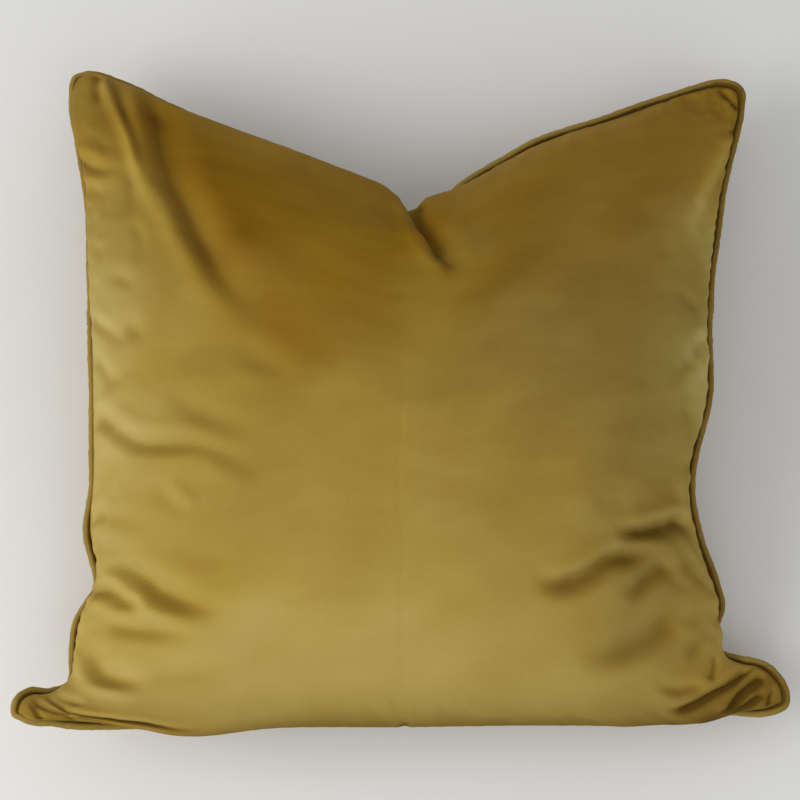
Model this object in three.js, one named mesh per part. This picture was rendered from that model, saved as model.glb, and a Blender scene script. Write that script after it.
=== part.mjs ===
// A filled square cushion in piped velvet, lying on its back, in millimetres.
// X runs across the face, Y up the face and Z out of it. The underside rests on z = 0.
import * as THREE from "three";
import { ParametricGeometry } from "three/addons/geometries/ParametricGeometry.js";
import { mergeGeometries, mergeVertices } from "three/addons/utils/BufferGeometryUtils.js";

// Driving dimensions
const pipingDiameter = 6;
const pipingGap = 1.9; // clear space between the piping and the edge of the cover
const pipingSides = 8;
const pipingStepsPerPoint = 3;
const joinGap = 0.6; // between the two strips of piping, measured along the seam
const panelSide = 550; // each panel as cut, seam to seam
const panelCells = 40;
const frontRise = 94; // crown of the front panel above the seam
const backDrop = 118; // fullness of the back panel below the seam
const restSoftness = 7; // how softly the back panel curves off its resting face
const crownFlatness = 2.5; // higher keeps the crown flatter in the middle
const crownFullness = 0.6; // lower makes the sides steeper
const kinkReach = 0.07; // sharp turns of the seam are evened out over this share of a side
const kinkFade = 14; // and fade with this power of the way across the panel
const bulgeReach = 11; // how far in from the seam the panels bulge out the most
const bellyReach = 30; // the same over the bottom seam, where the front hangs as a belly
const backBulge = 6.6;
const cornerFade = 35; // the bulges die out this far from a corner

// The seam as it lies: each side's own points, from its first corner to just before the next.
// The bottom corners are small flat ears, and the top side has a chop pressed into its middle.
const topSeam = [
  { x: -245, y: 238, z: 56 },
  { x: -232, y: 242, z: 58 },
  { x: -207, y: 231, z: 64 },
  { x: -150, y: 201, z: 74 },
  { x: -60, y: 158, z: 86 },
  { x: -22, y: 137, z: 90 },
  { x: -1, y: 117, z: 90 },
  { x: 19, y: 125, z: 90 },
  { x: 46, y: 148, z: 88 },
  { x: 96, y: 180, z: 80 },
  { x: 150, y: 202, z: 70 },
  { x: 211, y: 227, z: 59 },
  { x: 236, y: 234, z: 54 },
];
const rightSeam = [
  { x: 249, y: 229, z: 52 },
  { x: 249, y: 212, z: 52 },
  { x: 238, y: 172, z: 62 },
  { x: 226, y: 115, z: 76 },
  { x: 217, y: 52, z: 89 },
  { x: 214, y: -15, z: 94 },
  { x: 202, y: -71, z: 80 },
  { x: 209, y: -107, z: 66 },
  { x: 220, y: -137, z: 54 },
  { x: 226, y: -155, z: 44 },
  { x: 222, y: -171, z: 34 },
  { x: 224, y: -186, z: 31 },
  { x: 238, y: -192, z: 35 },
  { x: 257, y: -197, z: 39 },
  { x: 269, y: -210, z: 38 },
];
const bottomSeam = [
  { x: 271, y: -223, z: 35 },
  { x: 259, y: -229, z: 34 },
  { x: 236, y: -229, z: 33 },
  { x: 205, y: -224, z: 30 },
  { x: 138, y: -222, z: 32 },
  { x: -3, y: -224, z: 36 },
  { x: -110, y: -226, z: 44 },
  { x: -150, y: -236, z: 54 },
  { x: -199, y: -242, z: 69 },
  { x: -239, y: -242, z: 82 },
  { x: -260, y: -242, z: 89 },
];
const leftSeam = [
  { x: -270, y: -236, z: 89 },
  { x: -269, y: -226, z: 85 },
  { x: -262, y: -219, z: 76 },
  { x: -249, y: -218, z: 62 },
  { x: -237, y: -210, z: 50 },
  { x: -236, y: -191, z: 49 },
  { x: -233, y: -167, z: 51 },
  { x: -226, y: -153, z: 50 },
  { x: -220, y: -141, z: 50 },
  { x: -225, y: -105, z: 74 },
  { x: -222, y: -71, z: 88 },
  { x: -222, y: -17, z: 101 },
  { x: -224, y: 41, z: 103 },
  { x: -227, y: 94, z: 96 },
  { x: -232, y: 142, z: 84 },
  { x: -242, y: 186, z: 67 },
  { x: -247, y: 216, z: 57 },
];

// How far the front panel bulges out over the seam, at shares of each side from its first corner.
const bulges = {
  top: [
    { share: 0, out: 4 },
    { share: 0.14, out: 7 },
    { share: 0.3, out: 8 },
    { share: 0.42, out: 10 },
    { share: 0.47, out: 13 },
    { share: 0.58, out: 12 },
    { share: 0.7, out: 5 },
    { share: 0.8, out: 3 },
    { share: 1, out: 3 },
  ],
  right: [
    { share: 0, out: 4 },
    { share: 0.1, out: 6 },
    { share: 0.3, out: 6 },
    { share: 0.6, out: 4 },
    { share: 0.7, out: 2 },
    { share: 0.76, out: 3 },
    { share: 0.81, out: 11 },
    { share: 0.88, out: 5 },
    { share: 1, out: 3 },
  ],
  bottom: [
    { share: 0, out: 4 },
    { share: 0.04, out: 12 },
    { share: 0.1, out: 34 },
    { share: 0.2, out: 39 },
    { share: 0.65, out: 37 },
    { share: 0.72, out: 36 },
    { share: 0.8, out: 27 },
    { share: 0.88, out: 12 },
    { share: 1, out: 6 },
  ],
  left: [
    { share: 0, out: 3 },
    { share: 0.05, out: 2 },
    { share: 0.1, out: 8 },
    { share: 0.16, out: 3 },
    { share: 0.2, out: 3 },
    { share: 0.24, out: 8 },
    { share: 0.28, out: 3 },
    { share: 1, out: 4 },
  ],
};

// Folds pressed into the front panel, in its own flat measure from its centre: a trough where depth
// is negative, a ridge where it isn't. Each runs straight and fades out round both its ends.
const frontFolds = [
  { name: "top left, outer", x: -252, y: 245, toX: -236, toY: 205, width: 11, depth: -4 },
  { name: "top left, long, upper part", x: -208, y: 240, toX: -198, toY: 170, width: 18, depth: -7 },
  { name: "top left, long, lower part", x: -190, y: 155, toX: -140, toY: 83, width: 18, depth: -7 },
  { name: "left, middle", x: -258, y: -18, toX: -140, toY: -55, width: 12, depth: -4 },
  { name: "left, broad", x: -200, y: 5, toX: -125, toY: -30, width: 16, depth: -3 },
  { name: "left, low", x: -248, y: -130, toX: -155, toY: -165, width: 13, depth: -6 },
  { name: "left ear, root", x: -255, y: -197, toX: -210, toY: -214, width: 11, depth: -4 },
  { name: "right, short", x: 205, y: -115, toX: 258, toY: -99, width: 11, depth: -5 },
  { name: "right, long", x: 122, y: -157, toX: 238, toY: -123, width: 12, depth: -6 },
  { name: "right, under it", x: 202, y: -156, toX: 250, toY: -139, width: 11, depth: -3 },
  { name: "right, broad", x: 152, y: -204, toX: 240, toY: -175, width: 13, depth: -3 },
  { name: "right ear, long", x: 215, y: -234, toX: 252, toY: -236, width: 10, depth: -5 },
  { name: "chop, upper part", x: -3, y: 270, toX: 8, toY: 222, width: 13, depth: -9 },
  { name: "chop, lower part", x: 8, y: 222, toX: 40, toY: 150, width: 13, depth: -11 },
];

const seamPoints = [...topSeam, ...rightSeam, ...bottomSeam, ...leftSeam];
const seam = new THREE.CatmullRomCurve3(
  seamPoints.map((p) => new THREE.Vector3(p.x, p.y, p.z)),
  true,
  "centripetal",
);
const firstOf = {
  top: 0,
  right: topSeam.length,
  bottom: topSeam.length + rightSeam.length,
  left: topSeam.length + rightSeam.length + bottomSeam.length,
};
const seamCount = seamPoints.length;

const up = new THREE.Vector3(0, 0, 1);

function inwardAt(t) {
  return seam.getTangent(t).cross(up).normalize();
}

// The cover's edge: a little inside the piping's middle line, square to the seam.
const edgeInset = pipingDiameter / 2 + pipingGap;

function coverEdge(t) {
  return seam.getPoint(t).addScaledVector(inwardAt(t), edgeInset);
}

// From 0 to 1, level at both ends.
function smoothStep(x) {
  return THREE.MathUtils.smoothstep(x, 0, 1);
}

function interpolated(rows, share) {
  const next = Math.max(1, rows.findIndex((row) => row.share >= share));
  const a = rows[next - 1];
  const b = rows[next];
  return THREE.MathUtils.mapLinear(share, a.share, b.share, a.out, b.out);
}

// Average of each vector and its neighbours under a bell curve. Past an end the list is mirrored,
// and also turned round where the sign is negative.
function averaged(vectors, reach, sign) {
  const last = vectors.length - 1;
  const span = Math.ceil(3 * reach);
  return vectors.map((_, at) => {
    const sum = new THREE.Vector3();
    let total = 0;
    for (let step = -span; step <= span; step++) {
      const weight = Math.exp(-((step / reach) ** 2));
      const inside = last - Math.abs(last - Math.abs(at + step));
      const beyond = inside !== at + step;
      sum.addScaledVector(vectors[inside], beyond ? sign * weight : weight);
      total += weight;
    }
    return sum.divideScalar(total);
  });
}

// Places on the seam of one side's cell corners, evenly spaced along the cover's edge.
function placesOf(first, last) {
  const fine = 20 * panelCells;
  const places = [];
  const lengths = [0];
  for (let i = 0; i <= fine; i++) {
    places.push((first + ((last - first) * i) / fine) / seamCount);
    if (i > 0) lengths.push(lengths[i - 1] + coverEdge(places[i]).distanceTo(coverEdge(places[i - 1])));
  }
  return Array.from({ length: panelCells + 1 }, (_, cell) => {
    const wanted = (lengths[fine] * cell) / panelCells;
    return places[lengths.findIndex((length) => length >= wanted - 1e-9)];
  });
}

// One side of the cover, in the direction of rising x or y: the edge's points, and by how much and
// which way the panels bulge there.
function sideOfCover(name, first, last, reversed) {
  const places = placesOf(first, last);
  const shares = places.map((_, cell) => cell / panelCells);
  if (reversed) places.reverse();
  const outward = averaged(places.map((t) => inwardAt(t).negate()), kinkReach * panelCells, 1);
  return places.map((t, cell) => {
    const fromCorner = Math.min(shares[cell], 1 - shares[cell]) * panelSide;
    return {
      point: coverEdge(t),
      outward: outward[cell].normalize().multiplyScalar(smoothStep(fromCorner / cornerFade)),
      bulge: interpolated(bulges[name], reversed ? 1 - shares[cell] : shares[cell]),
    };
  });
}

const sides = {
  top: sideOfCover("top", firstOf.top, firstOf.right, false),
  right: sideOfCover("right", firstOf.right, firstOf.bottom, true),
  bottom: sideOfCover("bottom", firstOf.bottom, firstOf.left, true),
  left: sideOfCover("left", firstOf.left, seamCount, false),
};

// Both neighbours of a corner end in the very same point, so the panels close on each other.
sides.left[panelCells].point = sides.top[0].point;
sides.right[panelCells].point = sides.top[panelCells].point;
sides.right[0].point = sides.bottom[panelCells].point;
sides.left[0].point = sides.bottom[0].point;

// Each side's bow away from the straight line between its corners, and the same without its sharp turns.
for (const side of Object.values(sides)) {
  const corner = side[0].point;
  const straight = side.map((_, cell) => corner.clone().lerp(side[panelCells].point, cell / panelCells));
  const bow = side.map((row, cell) => row.point.clone().sub(straight[cell]));
  const soft = averaged(bow, kinkReach * panelCells, -1);
  side.forEach((row, cell) => Object.assign(row, { soft: soft[cell], kink: bow[cell].sub(soft[cell]) }));
}

// The four sides as one place of the panel sees them: the row beside it and the share of the way in.
function sidesFrom(u, v) {
  const column = Math.round(u * panelCells);
  const row = Math.round(v * panelCells);
  return [
    { ...sides.top[column], inward: 1 - v, reach: bulgeReach },
    { ...sides.right[row], inward: 1 - u, reach: bulgeReach },
    { ...sides.bottom[column], inward: v, reach: bellyReach },
    { ...sides.left[row], inward: u, reach: bulgeReach },
  ];
}

// The flat surface between the four sides: straight between the corners, plus each side's bow, which
// fades with the square of the way across, its sharp turns much sooner.
function betweenSides(u, v) {
  const low = sides.bottom[0].point.clone().lerp(sides.bottom[panelCells].point, u);
  const high = sides.top[0].point.clone().lerp(sides.top[panelCells].point, u);
  const flat = low.lerp(high, v);
  for (const side of sidesFrom(u, v)) {
    flat.addScaledVector(side.soft, (1 - side.inward) ** 2);
    flat.addScaledVector(side.kink, (1 - side.inward) ** kinkFade);
  }
  return flat;
}

// From 0 on the seam to 1 at the given reach and back towards 0 further in.
function bulgeFade(inward, reach) {
  const near = (inward * panelSide) / reach;
  return near * Math.exp(1 - near);
}

// From 0 on a seam to 1 in the middle of the panel, steep at the seam.
function crown(u, v) {
  const across = 1 - Math.abs(2 * u - 1) ** crownFlatness;
  const along = 1 - Math.abs(2 * v - 1) ** crownFlatness;
  return (across * along) ** crownFullness;
}

function distanceToFold(fold, x, y) {
  const line = new THREE.Line3(new THREE.Vector3(fold.x, fold.y), new THREE.Vector3(fold.toX, fold.toY));
  const point = new THREE.Vector3(x, y);
  return line.closestPointToPoint(point, true, new THREE.Vector3()).distanceTo(point);
}

// Sum of the folds, each its depth times a bell curve of the distance, less close to the seam.
function foldHeight(u, v) {
  const x = (u - 0.5) * panelSide;
  const y = (v - 0.5) * panelSide;
  const fromSeam = panelSide / 2 - Math.max(Math.abs(x), Math.abs(y));
  let height = 0;
  for (const fold of frontFolds) {
    height += fold.depth * Math.exp(-((distanceToFold(fold, x, y) / fold.width) ** 2));
  }
  return height * smoothStep(fromSeam / bellyReach);
}

function frontPoint(u, v, target) {
  target.copy(betweenSides(u, v));
  target.z += frontRise * crown(u, v) + foldHeight(u, v);
  for (const side of sidesFrom(u, v)) {
    target.addScaledVector(side.outward, side.bulge * bulgeFade(side.inward, side.reach));
  }
}

// The back panel sags until it rests, and is flat at z = 0 wherever it would go lower.
function backPoint(u, v, target) {
  target.copy(betweenSides(u, v));
  const free = target.z - backDrop * crown(u, v);
  target.z = Math.max(0, free);
  if (Math.abs(free) < restSoftness) target.z = (free + restSoftness) ** 2 / (4 * restSoftness);
  for (const side of sidesFrom(u, v)) {
    target.addScaledVector(side.outward, backBulge * bulgeFade(side.inward, bulgeReach));
  }
}

function makeCover() {
  const front = new ParametricGeometry(frontPoint, panelCells, panelCells);
  const back = new ParametricGeometry((u, v, target) => backPoint(1 - u, v, target), panelCells, panelCells);
  const both = mergeGeometries([front, back]);
  both.deleteAttribute("normal");
  both.deleteAttribute("uv");
  const closed = mergeVertices(both, 1e-3);
  closed.computeVertexNormals();
  return closed;
}

// A stretch of the seam between two of its points, counted on past the first where it wraps round.
class SeamStretch extends THREE.Curve {
  constructor(from, to) {
    super();
    this.from = from;
    this.to = to;
  }

  getPoint(t, target = new THREE.Vector3()) {
    const at = (this.from + (this.to - this.from) * t) / seamCount;
    return seam.getPoint(at - Math.floor(at), target);
  }

  // Steps follow the seam's own points, which lie closer together round the corners.
  getUtoTmapping(u) {
    return u;
  }
}

function makePiping(from, to) {
  const section = new THREE.Shape(
    Array.from({ length: pipingSides }, (_, side) => {
      const angle = (2 * Math.PI * side) / pipingSides;
      return new THREE.Vector2(Math.cos(angle), Math.sin(angle)).multiplyScalar(pipingDiameter / 2);
    }),
  );
  return new THREE.ExtrudeGeometry(section, {
    extrudePath: new SeamStretch(from, to),
    steps: Math.round((to - from) * pipingStepsPerPoint),
    bevelEnabled: false,
  });
}

// The strips are joined half way up each side, at a point of the seam.
const leftJoin = firstOf.left + 12;
const rightJoin = firstOf.right + 4;

// Half of the gap at a join, as a share of the way to the seam's next point.
function halfGapAt(point) {
  const step = 0.1;
  const here = seam.getPoint(point / seamCount);
  const next = seam.getPoint((point + step) / seamCount);
  return (step * joinGap) / 2 / here.distanceTo(next);
}

const velvet = new THREE.MeshStandardMaterial({ color: 0x9a7a30, roughness: 0.85, metalness: 0 });
const pipingVelvet = new THREE.MeshStandardMaterial({ color: 0x8a6a26, roughness: 0.85, metalness: 0 });

const cushion = new THREE.Group();

function addPiece(name, geometry, material) {
  const mesh = new THREE.Mesh(geometry, material);
  mesh.name = name;
  cushion.add(mesh);
}

addPiece("cushion_cover", makeCover(), velvet);
addPiece(
  "piping_upper",
  makePiping(leftJoin + halfGapAt(leftJoin), seamCount + rightJoin - halfGapAt(rightJoin)),
  pipingVelvet,
);
addPiece(
  "piping_lower",
  makePiping(rightJoin + halfGapAt(rightJoin), leftJoin - halfGapAt(leftJoin)),
  pipingVelvet,
);

export default cushion;
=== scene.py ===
import bpy
import numpy as np
from math import radians
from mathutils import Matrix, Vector


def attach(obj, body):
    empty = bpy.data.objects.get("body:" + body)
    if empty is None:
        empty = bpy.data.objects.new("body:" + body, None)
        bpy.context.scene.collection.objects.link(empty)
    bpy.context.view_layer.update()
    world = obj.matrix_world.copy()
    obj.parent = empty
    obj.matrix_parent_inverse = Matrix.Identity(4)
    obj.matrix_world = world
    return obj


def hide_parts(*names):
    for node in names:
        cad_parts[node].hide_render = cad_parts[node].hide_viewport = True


# A filled square cushion in piped velvet, lying on its back.
# Sizes in the dictionaries are millimetres: x across the face, y up the face, z out of it.

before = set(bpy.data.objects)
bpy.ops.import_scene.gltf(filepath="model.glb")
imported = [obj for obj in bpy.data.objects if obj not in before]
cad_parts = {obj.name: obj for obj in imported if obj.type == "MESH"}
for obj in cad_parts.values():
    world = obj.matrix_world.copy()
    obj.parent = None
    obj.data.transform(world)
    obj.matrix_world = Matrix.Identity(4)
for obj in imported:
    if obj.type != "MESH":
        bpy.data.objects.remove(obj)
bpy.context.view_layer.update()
scene = bpy.context.scene
mm = 0.001

# The seam as it lies: each side's own points, from its first corner to just before the next.
seam = {
    "top": [
        (-245, 238, 56), (-232, 242, 58), (-207, 231, 64), (-150, 201, 74), (-60, 158, 86), (-22, 137, 90),
        (-1, 117, 90), (19, 125, 90), (46, 148, 88), (96, 180, 80), (150, 202, 70), (211, 227, 59),
        (236, 234, 54),
    ],
    "right": [
        (249, 229, 52), (249, 212, 52), (238, 172, 62), (226, 115, 76), (217, 52, 89), (214, -15, 94),
        (202, -71, 80), (209, -107, 66), (220, -137, 54), (226, -155, 44), (222, -171, 34), (224, -186, 31),
        (238, -192, 35), (257, -197, 39), (269, -210, 38),
    ],
    "bottom": [
        (271, -223, 35), (259, -229, 34), (236, -229, 33), (205, -224, 30), (138, -222, 32), (-3, -224, 36),
        (-110, -226, 44), (-150, -236, 54), (-199, -242, 69), (-239, -242, 82), (-260, -242, 89),
    ],
    "left": [
        (-270, -236, 89), (-269, -226, 85), (-262, -219, 76), (-249, -218, 62), (-237, -210, 50),
        (-236, -191, 49), (-233, -167, 51), (-226, -153, 50), (-220, -141, 50), (-225, -105, 74),
        (-222, -71, 88), (-222, -17, 101), (-224, 41, 103), (-227, 94, 96), (-232, 142, 84),
        (-242, 186, 67), (-247, 216, 57),
    ],
}
seamPoints = np.array([p for side in seam.values() for p in side], float)
firstOf = dict(zip(seam, np.cumsum([0] + [len(side) for side in seam.values()])))
seamCount = len(seamPoints)

cover = {
    "side": 550,  # each panel as cut, seam to seam
    "cells": 110,  # of the simulated cloth along each side
    "edgeInset": 2.2,  # from the middle of the piping to the line where both panels meet
    "frontRise": 94,  # crown of the front panel above the seam
    "backDrop": 118,  # fullness of the back panel below the seam
    "crownFlatness": 2.5,  # higher keeps the crown flatter in the middle
    "crownFullness": 0.6,  # lower makes the sides steeper
    "restSoftness": 7,  # how softly the back curves off its resting face
    "crowdAtSeams": 1.6,  # how much closer the grid lines lie at the seams
    "crowdAtChop": 0.8,  # and where the chop is
    "crowdReach": 0.07,  # how far from either that is so, as a share of the side
    "chopPlace": 0.52,
    "kinkBlur": 0.07,  # sharp turns of the seam are what this average takes off it
    "kinkEnds": 0.04,  # this near a corner, as a share of the side, a turn always counts as sharp
    "kinkFade": 14,  # sharp turns fade with this power of the way across
    "bulgeReach": 11,  # how far in from the seam the panels bulge out the most
    "bellyReach": 30,  # the same over the bottom seam, where the front hangs as a belly
    "backBulge": 0.6,  # of the back panel, as a share of the reach
    "cornerFade": 18,  # the bulges die out this near a corner
    "bulgeBlur": 3,  # grid lines over which a bulge is averaged
    "outwardBlur": 13,  # and the direction in which it stands out
    "normalPasses": 6,  # of smoothing, before the folds are set along the normals
    "foldsFrom": 6,  # how far in from the seam the folds have their full depth
    "lapsFrom": 25,  # and the laps their full width
    "freeFrom": 10,  # how high above the floor the back has its full gathers
    "backBeside": 1.2,  # how far beside the front the back is measured, in panel sides
    # How far the front panel bulges out over the seam: share of the side from its first corner, and mm.
    "bulge": {
        "top": [(0, 5), (0.06, 6), (0.12, 5), (0.25, 6), (0.36, 8), (0.42, 10), (0.47, 13), (0.53, 12),
                (0.56, 8), (0.59, 1), (0.7, -1), (1, -1)],
        "right": [(0, 1), (0.06, 3), (0.12, 5.5), (0.3, 6), (0.5, 5.5), (0.6, 4), (0.7, 2), (0.8, 2),
                  (0.83, 5), (0.845, 14), (0.86, 16), (0.872, 10), (0.885, 2), (0.9, 0), (0.94, 1), (1, 3)],
        "bottom": [(0, 4), (0.04, 12), (0.1, 34), (0.2, 39), (0.5, 38), (0.65, 37), (0.72, 36), (0.8, 29),
                   (0.86, 18), (0.92, 10), (1, 6)],
        "left": [(0, 3), (0.05, 2), (0.08, 4), (0.1, 8), (0.13, 6), (0.16, 3), (0.2, 3), (0.24, 8),
                 (0.28, 3), (0.57, 2.5), (0.6, 6), (0.72, 8), (0.85, 7), (1, 7)],
    },
}

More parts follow.
